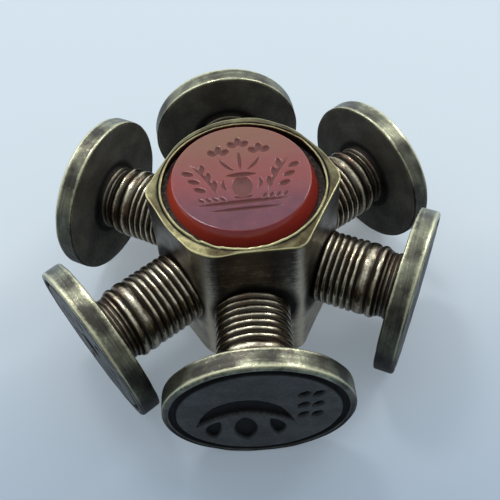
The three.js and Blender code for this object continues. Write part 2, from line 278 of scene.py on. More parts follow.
def grass(face):
    """Four slanting blades at each side of the vase's foot."""
    strokes = []
    for side in (-1, 1):
        for i in range(4):
            foot = (side * (0.24 + 0.1 * i) * face, -0.46 * face)
            strokes.append(leaf(foot, (foot[0] + side * 0.1 * face, -0.36 * face), 0.045 * face))
    return strokes


def stone_picture(face):
    return vase(face) + flowers(face) + spray(face, -1) + spray(face, 1) + grass(face) + ground(face)


# Each seal, from the front one anticlockwise: its ribs, how far apart they are, and the device in its face
SEALS = [
    {"name": "seal_front", "ribs": 7, "pitch": 0.63, "device": crescent_and_drops},
    {"name": "seal_front_right", "ribs": 6, "pitch": 0.57, "device": star},
    {"name": "seal_back_right", "ribs": 6, "pitch": 0.6, "device": sprig},
    {"name": "seal_back", "ribs": 6, "pitch": 0.62, "device": rosette},
    {"name": "seal_back_left", "ribs": 6, "pitch": 0.56, "device": crossed_leaves},
    {"name": "seal_front_left", "ribs": 7, "pitch": 0.62, "device": sun_wheel},
]

# Heights and radii that follow from the frame
hub_low, hub_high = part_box("hub")
STONE_LOW_Z, FACE_Z = (corner[2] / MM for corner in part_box("carnelian"))
BEZEL_LOW_Z, BEZEL_Z = (corner[2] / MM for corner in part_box("bezel"))
CEMENT_LOW_Z, CEMENT_Z = (corner[2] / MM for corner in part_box("setting_cement"))
HUB_TOP_Z = hub_high[2] / MM
HUB_FLAT = (hub_high[1] - hub_low[1]) / 2 / MM
CEMENT_RADIUS = STONE_GIRDLE_RADIUS + SEAT_GAP + CEMENT_WALL
BEZEL_INNER_RADIUS = CEMENT_RADIUS + SEAT_GAP
BEZEL_OUTER_RADIUS = BEZEL_INNER_RADIUS + BEZEL_WALL
CUP_RADIUS = BEZEL_OUTER_RADIUS + SEAT_GAP
HUB_CORNER = HUB_FLAT / math.cos(math.pi / 6)


# Turning

def arc(centre, radius, start, end, steps):
    """Points round an arc of a profile, from one angle to another in degrees."""
    return [polar(radius, start + (end - start) * i / steps, centre) for i in range(steps + 1)]


def turned(bm, profile, steps):
    """Spins a profile of (radius, height, wear, grime) once round Z and closes its poles.

    Each point keeps its wear, its grime and its place on the lathe, which the materials read.
    """
    wear = bm.verts.layers.float.new("wear")
    grime = bm.verts.layers.float.new("grime")
    lathe = bm.verts.layers.float_vector.new("lathe")
    chain = []
    for radius, height, worn, grimy in profile:
        vert = bm.verts.new((radius, 0, height))
        vert[wear], vert[grime], vert[lathe] = worn, grimy, (radius, height, 0)
        chain.append(vert)
    edges = [bm.edges.new(pair) for pair in zip(chain, chain[1:])]
    bmesh.ops.spin(bm, geom=chain + edges, axis=(0, 0, 1), cent=(0, 0, 0), dvec=(0, 0, 0),
                   angle=math.tau, steps=steps, use_merge=True)
    bmesh.ops.remove_doubles(bm, verts=bm.verts, dist=1e-5)


def finished(bm, name, materials, place=Matrix()):
    """Turns the made mesh into a piece in metres at its place, smooth, with its faces pointing out."""
    bmesh.ops.transform(bm, matrix=Matrix.Scale(MM, 4) @ place, verts=bm.verts)
    bmesh.ops.recalc_face_normals(bm, faces=bm.faces)
    mesh = bpy.data.meshes.new(name)
    bm.to_mesh(mesh)
    bm.free()
    mesh.shade_smooth()
    for material in materials:
        mesh.materials.append(material)
    piece = bpy.data.objects.new(name, mesh)
    bpy.context.scene.collection.objects.link(piece)
    return piece


def stand_for(piece, node):
    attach(piece, "root")
    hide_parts(node)


def engrave(bm, strokes, surface, reach, depth, wall):
    """Sinks the strokes into the flat face at height surface, and marks the cut points as grimy.

    A cut gets its whole depth at the distance wall from its edge, so a narrower stroke is shallower.
    """
    grime = bm.verts.layers.float["grime"]
    verts = [v for v in bm.verts if abs(v.co.z - surface) < 1e-4 and v.co.to_2d().length < reach]
    points = np.array([v.co.to_2d() for v in verts])
    cut = np.zeros(len(verts))
    for line, half_widths in strokes:
        away = np.linalg.norm(points[:, None, :] - line[None, :, :], axis=2) - half_widths[None, :]
        slope = min(wall, half_widths.max())
        inside = np.clip(-away.min(axis=1) / slope, 0, 1)
        cut = np.maximum(cut, inside ** CUT_ROUNDNESS * (slope / wall) ** 0.5)
    for vert, share in zip(verts, cut):
        vert.co.z -= depth * share
        vert[grime] = max(vert[grime], float(share) ** 0.5)


def roughen(bm, unevenness, seed):
    """Moves each point a little along its normal, as hand work and long use leave a surface."""
    amount, size = unevenness
    bm.normal_update()
    offset = Vector((seed, 2 * seed, 3 * seed))
    for vert in bm.verts:
        vert.co += vert.normal * amount * noise.noise(vert.co / size + offset)


# Materials

def add_node(tree, kind, inputs=None, **settings):
    """Adds a node with its settings.

    An input takes a value, a socket, or a node, which stands for its first output in use.
    """
    node = tree.nodes.new(kind)
    for name, value in settings.items():
        setattr(node, name, value)
    for socket, value in (inputs or {}).items():
        if isinstance(value, bpy.types.Node):
            value = next(output for output in value.outputs if output.enabled)
        if isinstance(value, bpy.types.NodeSocket):
            tree.links.new(value, node.inputs[socket])
        else:
            node.inputs[socket].default_value = value
    return node


def new_material(name):
    """A material with its shader, and the object's coordinates in millimetres for its patterns."""
    material = bpy.data.materials.new(name)
    material.use_nodes = True
    tree = material.node_tree
    tree.nodes.clear()
    shader = add_node(tree, "ShaderNodeBsdfPrincipled")
    add_node(tree, "ShaderNodeOutputMaterial", {"Surface": shader})
    coords = add_node(tree, "ShaderNodeTexCoord")
    place = add_node(tree, "ShaderNodeMapping", {"Vector": coords.outputs["Object"], "Scale": (1 / MM,) * 3})
    return material, tree, shader, place


def aged_brass(name, skin, tarnish, soil, bare, roughness, bare_roughness, mark_share, low_soil_and_shade, metal=1.0,
               stains=0.5):
    """Old brass under a skin of tarnish, which handling has rubbed off the edges.

    The skin is dull and mottled with darker tarnish. Soil makes the grooves almost black and matt. The low
    parts are darkened too, as much as the low-parts argument gives: painted shade, with some soil where no
    hand rubs.
    The tool has left fine rings, as dark as mark_share. The rubbed edges show the bare metal and catch the
    light. stains is how far the soil gets out of the pits, and metal is how much the skin still shines as
    metal does.
    """
    material, tree, shader, place = new_material(name)
    wear = add_node(tree, "ShaderNodeAttribute", attribute_name="wear").outputs["Fac"]
    grime = add_node(tree, "ShaderNodeAttribute", attribute_name="grime").outputs["Fac"]
    lathe = add_node(tree, "ShaderNodeAttribute", attribute_name="lathe").outputs["Vector"]
    patches = add_node(tree, "ShaderNodeTexNoise", {"Vector": place, "Scale": 1 / TARNISH_PATCH,
                                                    "Detail": 4.0})
    pits = add_node(tree, "ShaderNodeTexNoise", {"Vector": place, "Scale": 1 / PIT, "Detail": 6.0,
                                                 "Roughness": 0.65})
    along = add_node(tree, "ShaderNodeVectorMath", {0: place, "Scale": 1 / TOOL_MARK_LENGTH},
                     operation="SCALE")
    rings = add_node(tree, "ShaderNodeVectorMath", {0: lathe, 1: (1 / TOOL_MARK,) * 3, 2: along},
                     operation="MULTIPLY_ADD")
    marks = add_node(tree, "ShaderNodeTexNoise", {"Vector": rings, "Scale": 1.0, "Detail": 4.0,
                                                  "Roughness": 0.6})

    # The skin, with darker patches, and tool marks that soil hides where it fills the surface
    patched = add_node(tree, "ShaderNodeMapRange", {"Value": patches, "From Min": 0.4, "From Max": 0.62})
    colour = add_node(tree, "ShaderNodeMix", {0: patched, 6: linear(skin), 7: linear(tarnish)},
                      data_type="RGBA")
    filled = add_node(tree, "ShaderNodeMapRange", {"Value": grime, "To Min": mark_share, "To Max": 0.0})
    marked = add_node(tree, "ShaderNodeMapRange", {"Value": marks, "From Min": 0.45, "From Max": 0.7,
                                                   "To Max": filled})
    colour = add_node(tree, "ShaderNodeMix", {0: marked, 6: colour, 7: linear(soil)}, data_type="RGBA")

    # Low parts are darker, as painted shade with some soil, and are rubbed less
    height = add_node(tree, "ShaderNodeSeparateXYZ", {0: place}).outputs["Z"]
    low = add_node(tree, "ShaderNodeMapRange", {"Value": height, "From Min": LOW_SOIL_AND_SHADE_FULL_Z,
                                                "From Max": LOW_SOIL_AND_SHADE_END_Z, "To Min": low_soil_and_shade, "To Max": 0.0})

    # Bare metal where handling rubs, with a ragged border that follows the pits and the tool marks
    kept = add_node(tree, "ShaderNodeMath", {0: wear, 1: low}, operation="SUBTRACT")
    ragged = add_node(tree, "ShaderNodeMath", {0: pits, 1: 0.9, 2: kept}, operation="MULTIPLY_ADD")
    ragged = add_node(tree, "ShaderNodeMath", {0: marks, 1: -0.7, 2: ragged}, operation="MULTIPLY_ADD")
    ragged = add_node(tree, "ShaderNodeMath", {0: patches, 1: -0.6, 2: ragged}, operation="MULTIPLY_ADD")
    rubbed = add_node(tree, "ShaderNodeMapRange", {"Value": ragged, "From Min": 0.0, "From Max": 0.7})
    colour = add_node(tree, "ShaderNodeMix", {0: rubbed, 6: colour, 7: linear(bare)}, data_type="RGBA")

    # Soil in the grooves and cuts, with the painted shade and soil of the low parts: darker, rougher and less
    # like metal
    gathered = add_node(tree, "ShaderNodeMath", {0: grime, 1: low}, operation="ADD")
    clogged = add_node(tree, "ShaderNodeMath", {0: pits, 1: stains, 2: gathered}, operation="MULTIPLY_ADD")
    soiled = add_node(tree, "ShaderNodeMapRange", {"Value": clogged, "From Min": 0.42, "From Max": 1.1})
    colour = add_node(tree, "ShaderNodeMix", {0: soiled, 6: colour, 7: linear(soil)}, data_type="RGBA")
    metallic = add_node(tree, "ShaderNodeMapRange", {"Value": soiled, "To Min": metal, "To Max": 0.8 * metal})
    rough = add_node(tree, "ShaderNodeMapRange", {"Value": rubbed, "To Min": roughness,
                                                  "To Max": bare_roughness})
    rough = add_node(tree, "ShaderNodeMath", {0: soiled, 1: 0.3, 2: rough}, operation="MULTIPLY_ADD")
    rough = add_node(tree, "ShaderNodeMath", {0: patches, 1: 0.12, 2: rough}, operation="MULTIPLY_ADD")

    # Relief: the scores of the tool and the pits
    score = add_node(tree, "ShaderNodeMath", {0: filled, 1: 0.35}, operation="MULTIPLY")
    scored = add_node(tree, "ShaderNodeBump", {"Height": marks, "Strength": score, "Distance": 0.1 * MM})
    pitted = add_node(tree, "ShaderNodeBump", {"Height": pits, "Strength": 0.25, "Distance": 0.08 * MM,
                                               "Normal": scored})
    for socket, source in (("Base Color", colour.outputs[2]), ("Metallic", metallic.outputs[0]),
                           ("Roughness", rough.outputs[0]), ("Normal", pitted.outputs[0])):
        tree.links.new(source, shader.inputs[socket])
    return material


def polished_carnelian():
    """Carnelian, cut flat and polished: a cloudy stone that lets light a little way in.

    Its face is painted lighter and amber towards the back and darker rose in front, as light coming through
    the stone would fall, mixed with the stone's own clouds. Its bevel is painted with a deep orange-red glow
    of light through the stone, brightest at the left, and the cut picture is matt and darker.
    """
    material, tree, shader, place = new_material("polished_carnelian")
    grime = add_node(tree, "ShaderNodeAttribute", attribute_name="grime").outputs["Fac"]
    lathe = add_node(tree, "ShaderNodeAttribute", attribute_name="lathe").outputs["Vector"]
    radius = add_node(tree, "ShaderNodeSeparateXYZ", {0: lathe}).outputs["X"]
    depth = add_node(tree, "ShaderNodeSeparateXYZ", {0: place}).outputs["Y"]
    stretched = add_node(tree, "ShaderNodeMapping", {
        "Vector": place, "Scale": (1 / STONE_CLOUD_LENGTH, 1 / STONE_CLOUD_DEPTH, 1 / STONE_CLOUD_DEPTH)})
    clouds = add_node(tree, "ShaderNodeTexNoise", {"Vector": stretched, "Scale": 1.0, "Detail": 3.0})
    mottling = add_node(tree, "ShaderNodeTexNoise", {"Vector": place, "Scale": 1 / STONE_MOTTLING,
                                                     "Detail": 4.0})
    # Painted light through the stone: amber and lighter towards the back, darker rose in front, with its own
    # clouds
    amber = add_node(tree, "ShaderNodeMath", {0: clouds, 1: 9.0, 2: depth}, operation="MULTIPLY_ADD")
    amber = add_node(tree, "ShaderNodeMapRange", {"Value": amber, "From Min": 4.0, "From Max": 10.0})
    red = add_node(tree, "ShaderNodeMapRange", {"Value": depth, "From Min": -3.2, "From Max": -0.4})
    colour = add_node(tree, "ShaderNodeMix", {0: red, 6: linear("#561A2A"), 7: linear("#782620")},
                      data_type="RGBA")
    colour = add_node(tree, "ShaderNodeMix", {0: amber, 6: colour.outputs[2], 7: linear("#704626")},
                      data_type="RGBA")
    dusky = add_node(tree, "ShaderNodeMapRange", {"Value": mottling, "From Min": 0.4, "From Max": 0.75,
                                                  "To Max": 0.35})
    colour = add_node(tree, "ShaderNodeMix", {0: dusky, 6: colour, 7: linear("#7E3A3C")}, data_type="RGBA")
    # The bevel is painted as a glow of light through the stone, brightest at the left
    glow = add_node(tree, "ShaderNodeMapRange", {"Value": radius, "From Min": STONE_FACE_RADIUS - 0.1,
                                                 "From Max": STONE_FACE_RADIUS + 0.12})
    across = add_node(tree, "ShaderNodeSeparateXYZ", {0: place}).outputs["X"]
    left = add_node(tree, "ShaderNodeMapRange", {"Value": across, "From Min": -6.3, "From Max": -2.5,
                                                 "To Min": 1.0, "To Max": 0.0})
    edge = add_node(tree, "ShaderNodeMix", {0: left, 6: linear("#8E2E24"), 7: linear("#A83E28")},
                    data_type="RGBA")
    colour = add_node(tree, "ShaderNodeMix", {0: glow, 6: colour, 7: edge}, data_type="RGBA")
    cut = add_node(tree, "ShaderNodeMapRange", {"Value": grime, "From Min": 0.08, "From Max": 0.5,
                                                "To Max": 0.9})
    colour = add_node(tree, "ShaderNodeMix", {0: cut, 6: colour, 7: linear("#561C0E")}, data_type="RGBA")
    matt = add_node(tree, "ShaderNodeMapRange", {"Value": grime, "From Min": 0.02, "From Max": 0.5,
                                                 "To Min": 0.14, "To Max": 0.6})
    waves = add_node(tree, "ShaderNodeBump", {"Height": mottling, "Strength": 0.12, "Distance": 0.05 * MM})
    for socket, source in (("Base Color", colour.outputs[2]), ("Roughness", matt.outputs[0]),
                           ("Normal", waves.outputs[0])):
        tree.links.new(source, shader.inputs[socket])
    shader.inputs["IOR"].default_value = 1.54
    shader.inputs["Subsurface Weight"].default_value = 0.3
    shader.inputs["Subsurface Radius"].default_value = (1.0, 0.25, 0.1)
    shader.inputs["Subsurface Scale"].default_value = 1.5 * MM
    return material


def setting_cement():
    """Shellac cement filled with brick dust, gone almost black: dull, with grit that stands out of it."""
    material, tree, shader, place = new_material("setting_cement")
    grit = add_node(tree, "ShaderNodeTexNoise", {"Vector": place, "Scale": 1 / GRIT, "Detail": 6.0,
                                                 "Roughness": 0.7})
    bright = add_node(tree, "ShaderNodeMapRange", {"Value": grit, "From Min": 0.45, "From Max": 0.75})
    colour = add_node(tree, "ShaderNodeMix", {0: bright, 6: linear("#1A120E"), 7: linear("#6A5848")},
                      data_type="RGBA")
    bump = add_node(tree, "ShaderNodeBump", {"Height": grit, "Strength": 0.8, "Distance": 0.15 * MM})
    tree.links.new(colour.outputs[2], shader.inputs["Base Color"])
    tree.links.new(bump.outputs["Normal"], shader.inputs["Normal"])
    shader.inputs["Roughness"].default_value = 0.8
    return material


def pale_paper():
    """Matt coated paper on a softly lit table: a pale ground with painted shade that deepens towards the
    front.

    The paper glows by itself, painted light that keeps the shadows under the seals thin.
    """
    material, tree, shader, place = new_material("pale_paper")
    depth = add_node(tree, "ShaderNodeSeparateXYZ", {0: place}).outputs["Y"]
    # Painted shade: the ground is darker towards the front
    far = add_node(tree, "ShaderNodeMapRange", {"Value": depth, "From Min": GROUND_SHADE_DEEPEST_Y,
                                                "From Max": GROUND_SHADE_END_Y})
    colour = add_node(tree, "ShaderNodeMix", {0: far, 6: linear("#798693"), 7: linear("#A0A8AC")},
                      data_type="RGBA")
    tree.links.new(colour.outputs[2], shader.inputs["Base Color"])
    # The ground glows by itself in its own colour: painted light that keeps the shadows under the seals thin
    tree.links.new(colour.outputs[2], shader.inputs["Emission Color"])
    shader.inputs["Emission Strength"].default_value = GROUND_GLOW
    shader.inputs["Roughness"].default_value = 0.95
    shader.inputs["Specular IOR Level"].default_value = 0.1
    return material


# The stems' brass was turned with a form tool: smooth and shiny on the crests, with brown in the grooves, and
# darker low down: painted shade with some soil
stem_brass = aged_brass("turned_stem_brass", skin="#676051", tarnish="#614E3E",
                        soil="#1B1713", bare="#E4DABC",
                        roughness=0.2, bare_roughness=0.13, mark_share=0.3, low_soil_and_shade=0.28)
# The discs' rims were turned with a flat tool: fine dark rings, greenish above and almost black below, the
# dark below being painted shade with some soil
disc_brass = aged_brass("turned_disc_brass", skin="#7C7C68", tarnish="#46433C",
                        soil="#171614", bare="#CECBA6",
                        roughness=0.25, bare_roughness=0.16, mark_share=0.5, low_soil_and_shade=1.2)
# The discs' faces were smoothed before the cutting: an even dull grey, with black cuts
face_brass = aged_brass("sunk_face_brass", skin="#575755", tarnish="#494947",
                        soil="#111010", bare="#8E8E84",
                        roughness=0.34, bare_roughness=0.3, mark_share=0.15, low_soil_and_shade=0.0)
# The discs' backs were left as turned and are out of a hand's reach: dark and matt, with little shine, and
# darker low down: painted shade with some soil
back_brass = aged_brass("matt_back_brass", skin="#6C6A60", tarnish="#56534C",
                        soil="#1A1917", bare="#A8A68C",
                        roughness=0.5, bare_roughness=0.35, mark_share=0.2, low_soil_and_shade=0.35, metal=0.68)
# The hub's walls were filed flat: dark brown and half dull, and pale along the rubbed corners and towards the
# bottom, where the bare metal is widened into a painted highlight and a painted reflection of the ground
hub_brass = aged_brass("filed_hub_brass", skin="#645C53", tarnish="#4E443D",
                       soil="#1E1A17", bare="#CFC3AE",
                       roughness=0.3, bare_roughness=0.36, mark_share=0.2, low_soil_and_shade=0.0)
# The bezel and the hub's rim were beaten and burnished: the yellowest metal, stained and with a bright edge
bezel_brass = aged_brass("beaten_bezel_brass", skin="#7C7654", tarnish="#544B34",
                         soil="#1A150E", bare="#CFC795",
                         roughness=0.28, bare_roughness=0.2, mark_share=0.55, low_soil_and_shade=0.0, stains=1.1)
carnelian_stone = polished_carnelian()
cement = setting_cement()


# The seals

def stem_profile(start, ribs, pitch, end):
    """Rounded ribs with sharp narrow grooves, two beads, a cove and a neck, from the hub outwards."""
    points = [(0, start, 0, 1), (STEM_RADIUS - RIB_DEPTH, start, 0, 1)]
    level = start
    for _ in range(ribs):
        for i in range(RIB_STEPS):
            share = i / RIB_STEPS
            crest = math.sqrt(math.sin(math.pi * share))
            radius = STEM_RADIUS - RIB_DEPTH * (1 - crest)
            points.append((radius, level + share * pitch, 0.72 * crest ** 8, 1 - min(1, 1.45 * crest)))
        level += pitch
    for length in (BROAD_BEAD_LENGTH, NARROW_BEAD_LENGTH):
        steps = round(BEAD_STEPS_PER_MM * length)
        for i in range(steps):
            crest = math.sin(math.pi * i / steps) ** 0.55
            points.append((STEM_RADIUS - BEAD_DEPTH * (1 - crest), level + length * i / steps,
                           0.62 * crest ** 6, 1 - min(1, 1.5 * crest)))
        level += length
    neck = STEM_RADIUS - BEAD_DEPTH
    for i in range(COVE_STEPS + 1):
        share = i / COVE_STEPS
        hollow = math.sin(math.pi * share) ** 0.8
        line = math.sin(3 * math.pi * share) ** 2
        radius = neck - (COVE_DEPTH - BEAD_DEPTH) * hollow + NECK_LINE_HEIGHT * line
        soiled = 0.15 + 0.25 * share + 0.3 * (1 - line)
        points.append((radius, level + COVE_LENGTH * share, 0.5 * line, soiled))
    points += [(neck + 0.05, end - 0.1, 0, 0.9), (neck + 0.1, end, 0, 1), (neck + 0.1, end + STEM_END, 0, 1),
               (0, end + STEM_END, 0, 1)]
    return points


def disc_profile(radius, rings):
    """A flat disc with its face at height 0, a softened rim, a cut border ring and a flat field.

    Gives the profile and the radius of the field.
    """
    back = -DISC_THICKNESS
    ring = radius - RING_MARGIN
    field = ring - RING_WIDTH
    corner = STEM_RADIUS + 0.5
    points = [(0, back, 0, 1), (STEM_RADIUS, back, 0, 0.9), (corner, back, 0, 0.3)]
    points += [(corner + (radius - 0.3 - corner) * i / 6, back, 0, 0.3 - 0.03 * i) for i in range(1, 7)]
    edge = (radius - DISC_BACK_EDGE, back + DISC_BACK_EDGE)
    points += [(r, z, 0.6, 0) for r, z in arc(edge, DISC_BACK_EDGE, -90, 0, 5)]
    points += [(radius, back + 0.3, 0.2, 0.05)]
    points += [(radius, back + 0.3 + (DISC_THICKNESS - 0.75) * i / 8, 0.15, 0.1) for i in range(1, 9)]
    edge = (radius - DISC_FACE_CHAMFER, -DISC_FACE_CHAMFER)
    rim_wear = (0.6, 1, 1, 0.7, 0.45, 0.35, 0.3, 0.3)
    points += [(r, z, worn, 0) for (r, z), worn in zip(arc(edge, DISC_FACE_CHAMFER, 0, 90, 7), rim_wear)]
    points += [(ring + 0.04, 0, 0.35, 0.1), (ring, -0.03, 0.3, 0.4)]
    for i in range(1, 8):
        share = i / 8
        points.append((ring - RING_WIDTH * share, -RING_DEPTH * math.sin(math.pi * share) ** 0.7, 0, 1))
    points += [(field, -0.02, 0.1, 0.6)]
    points += [((field - 0.04) * (1 - i / rings), 0, 0, 0.4) for i in range(rings)]
    points += [(0, 0, 0, 0.4)]
    return points, field


def make_seal(each, number):
    """A seal, turned upright with its stem on the Z axis and then laid out from the hub.

    Its place and its lean come from its mount and its box in the frame.
    """
    low, high = (Vector(corner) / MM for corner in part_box(each["name"]))
    mount = next(m for m in frame["record"]["mounts"] if m["name"] == each["name"] + "_face")
    normal = Vector(mount["axis"])
    bearing = math.atan2(normal.y, normal.x)
    droop = -math.asin(normal.z)  # how far the disc leans down on its stem
    back_height = DISC_THICKNESS - DISC_BACK_EDGE
    radius = (high.z - low.z) / 2 - (back_height - DISC_FACE_CHAMFER) / 2 * math.sin(droop)
    radius /= math.cos(droop)
    axis_z = (high.z + low.z) / 2 - (back_height + DISC_FACE_CHAMFER) / 2 * math.sin(droop)
    face = (Vector(mount["pos_m"]).dot(normal) / MM + axis_z * math.sin(droop)) / math.cos(droop)
    shown = each["name"] == "seal_front"
    finishes = [stem_brass, disc_brass, face_brass, back_brass]

    bm = bmesh.new()
    start = HUB_FLAT + SEAT_GAP
    turned(bm, stem_profile(start, each["ribs"], each["pitch"], face - DISC_THICKNESS), STEM_STEPS)
    for vert in bm.verts:
        if vert.co.z < start + 1e-3:
            vert.co.z -= SOCKET
    roughen(bm, STEM_UNEVENNESS, 5 + number)

    disc = bmesh.new()
    profile, field = disc_profile(radius, SHOWN_FACE_RINGS if shown else HIDDEN_FACE_RINGS)
    turned(disc, profile, SHOWN_FACE_STEPS if shown else HIDDEN_FACE_STEPS)
    for polygon in disc.faces:
        middle = polygon.calc_center_median()
        sunk = middle.z > -RING_DEPTH - 0.01 and middle.to_2d().length < radius - RING_MARGIN + 0.02
        at_back = middle.z < -DISC_THICKNESS + 1e-3
        polygon.material_index = finishes.index(back_brass if at_back else face_brass if sunk else disc_brass)
    engrave(disc, each["device"](field), 0, field - 0.05, DEVICE_DEPTH, DEVICE_WALL)
    roughen(disc, DISC_UNEVENNESS, 20 + number)
    bmesh.ops.rotate(disc, verts=disc.verts, cent=(0, 0, 0), matrix=Matrix.Rotation(droop, 3, "X"))
    bmesh.ops.translate(disc, verts=disc.verts, vec=(0, 0, face))
    disc_mesh = bpy.data.meshes.new("disc")
    disc.to_mesh(disc_mesh)
    disc.free()
    bm.from_mesh(disc_mesh)
    bpy.data.meshes.remove(disc_mesh)

    place = (Matrix.Rotation(bearing, 4, "Z") @ Matrix.Translation((0, 0, axis_z))
             @ Matrix.Rotation(math.pi / 2, 4, "Y") @ Matrix.Rotation(math.pi / 2, 4, "Z"))
    piece = finished(bm, each["name"] + "_turned", finishes, place)
    stand_for(piece, each["name"])


for number, each in enumerate(SEALS):
    make_seal(each, number)


# The hub

def hexagon_reach(angle):
    """How far the hub's wall is from its axis at an angle, with its round corners."""
    half = math.pi / 6
    corner = round(angle / (2 * half))
    radius = HUB_CORNER_RADII[corner % 6]
    from_corner = abs(angle - corner * 2 * half)
    centre = (HUB_FLAT - radius) / math.cos(half)
    if HUB_FLAT * math.tan(half - from_corner) < centre * math.sin(half):
        return HUB_FLAT / math.cos(half - from_corner)
    return centre * math.cos(from_corner) + math.sqrt(radius ** 2 - (centre * math.sin(from_corner)) ** 2)


def make_hub():
    """The hub: turned round first, and its wall is then drawn out to the hexagon and the beaten rim."""
    chamfer, edge, ring, half = HUB_EDGE_CHAMFER, HUB_TOP_ROUND, BASE_RING_RADIUS, BASE_RING_WIDTH / 2
    bottom = [(0, 0, 0.3, 0.1), (ring - 2, 0, 0.3, 0.1), (ring - half - 0.05, 0, 0.4, 0.1),
              (ring - half, 0.02, 0.2, 0.5), (ring, BASE_RING_DEPTH, 0, 1), (ring + half, 0.02, 0.2, 0.5),
              (ring + half + 0.05, 0, 0.4, 0.1)]
    wall = [(HUB_FLAT - chamfer, 0, 0.7, 0), (HUB_FLAT - chamfer * 0.3, chamfer * 0.3, 0.8, 0),
            (HUB_FLAT, chamfer, 0.6, 0)]
    # The walls grow paler towards the bottom: a painted reflection of the pale ground, carried as wear
    for i in range(1, HUB_WALL_ROWS + 1):
        share = i / HUB_WALL_ROWS
        wall.append((HUB_FLAT, chamfer + (HUB_TOP_Z - 2 * chamfer) * share, 0.5 - 0.4 * share, 0.1))
    wall += [(HUB_FLAT, HUB_TOP_Z - edge, 0.3, 0), (HUB_FLAT - 0.3 * edge, HUB_TOP_Z - 0.3 * edge, 0.9, 0),
             (HUB_FLAT - edge, HUB_TOP_Z, 0.7, 0)]
    land = HUB_FLAT - edge - CUP_RADIUS
    top = [(CUP_RADIUS + land * share, HUB_TOP_Z, 0.2, 0.08) for share in (0.85, 0.6, 0.4, 0.25)]
    cup = [(CUP_RADIUS + 0.02, HUB_TOP_Z, 0.2, 0.6), (CUP_RADIUS, HUB_TOP_Z - 0.04, 0, 1),
           (CUP_RADIUS, BEZEL_LOW_Z, 0, 1), (0, BEZEL_LOW_Z, 0, 1)]
    bm = bmesh.new()
    turned(bm, bottom + wall + top + cup, HUB_STEPS)
    wear = bm.verts.layers.float["wear"]
    grime = bm.verts.layers.float["grime"]
    for vert in bm.verts:
        radius = vert.co.to_2d().length
        angle = math.atan2(vert.co.y, vert.co.x)
        in_cup = vert.co.z >= chamfer and radius <= CUP_RADIUS + 0.03
        on_top = vert.co.z > HUB_TOP_Z - 2 * edge and not in_cup
        height_share = max(0, 1 - (HUB_TOP_Z - vert.co.z) / RIM_BULGE_HEIGHT) ** 2
        reach = hexagon_reach(angle)
        reach += height_share * sum(out * swell(angle, middle, width) for middle, width, out in RIM_BULGES)
        grown = radius
        if on_top and radius < HUB_FLAT - edge - 1e-3:
            grown = CUP_RADIUS + (radius - CUP_RADIUS) / land * (reach - edge - CUP_RADIUS)
        elif radius > HUB_FLAT - chamfer - 1e-3 and not in_cup:
            grown = reach - (HUB_FLAT - radius)
        corner = round(angle / (math.pi / 3))
        if radius > HUB_FLAT - 1e-3:
            from_middle = math.radians(math.degrees(angle) % 60 - 30)
            from_stem = math.hypot(HUB_FLAT * math.tan(from_middle), vert.co.z - STEM_AXIS_Z) - STEM_RADIUS
            vert[grime] = max(vert[grime], min(1, 1 - from_stem / ROOT_SOIL_REACH))
        # Sharp corners are rubbed bright, widened into a painted highlight
        if radius > HUB_FLAT - 1e-3 and HUB_CORNER_RADII[corner % 6] < SHARP_CORNER:
            from_corner = math.degrees(abs(angle - corner * math.pi / 3))
            vert[wear] = max(vert[wear], max(0, 1 - from_corner / CORNER_RUB_AND_HIGHLIGHT_DEGREES))
        if on_top:
            vert.co.z -= HUB_TOP_FALL * (grown - CUP_RADIUS) / (HUB_CORNER - CUP_RADIUS)
        if radius > 0:
            vert.co.x *= grown / radius
            vert.co.y *= grown / radius
    roughen(bm, HUB_UNEVENNESS, 41)
    for vert in bm.verts:
        vert.co.z = max(vert.co.z, 0)
    finishes = [hub_brass, bezel_brass]
    for polygon in bm.faces:
        beaten = polygon.calc_center_median().z > HUB_TOP_Z - RIM_BAND
        polygon.material_index = finishes.index(bezel_brass if beaten else hub_brass)
    piece = finished(bm, "hub_block", finishes)
    stand_for(piece, "hub")


def make_bezel():
    """The bezel: a thin strip, worn uneven at its lip, a little spread in front and split at one place."""
    outer, inner = BEZEL_OUTER_RADIUS, BEZEL_INNER_RADIUS
    edge = BEZEL_WALL * 0.3
    profile = [(inner, BEZEL_LOW_Z, 0, 1), (outer, BEZEL_LOW_Z, 0, 1), (outer, HUB_TOP_Z - 0.05, 0.4, 0.4),
               (outer - 0.01, HUB_TOP_Z + 0.02, 0.4, 0.2), (outer - BEZEL_LEAN + 0.01, BEZEL_Z - edge, 1, 0),
               (outer - BEZEL_LEAN - edge, BEZEL_Z, 1, 0), (inner - BEZEL_LEAN + edge, BEZEL_Z, 1, 0),
               (inner - BEZEL_LEAN, BEZEL_Z - edge, 0.7, 0), (inner - 0.03, BEZEL_Z - 0.3, 0.25, 0.3),
               (inner, BEZEL_Z - 0.6, 0, 0.9), (inner, BEZEL_LOW_Z, 0, 1)]
    bm = bmesh.new()
    turned(bm, profile, HUB_STEPS)
    wear = bm.verts.layers.float["wear"]
    for vert in bm.verts:
        if vert.co.z > HUB_TOP_Z:
            angle = math.atan2(vert.co.y, vert.co.x)
            along = Vector((math.cos(angle), math.sin(angle), 0))
            front = swell(angle, 270, 60)
            vert[wear] *= 0.45 + 0.55 * front
            nicks = (0.04 + 0.05 * front) * noise.noise(along * 12)
            vert.co.z -= 0.04 + 0.05 * noise.noise(along * 2.5) + nicks
            vert.co.z -= sum(deep * swell(angle, middle, width) for middle, width, deep in BEZEL_SPLITS)
            vert.co += along * (0.06 * noise.noise(along * 3 + Vector((7, 0, 0))) + 0.06 * front)
    piece = finished(bm, "bezel_strip", [bezel_brass])
    stand_for(piece, "bezel")


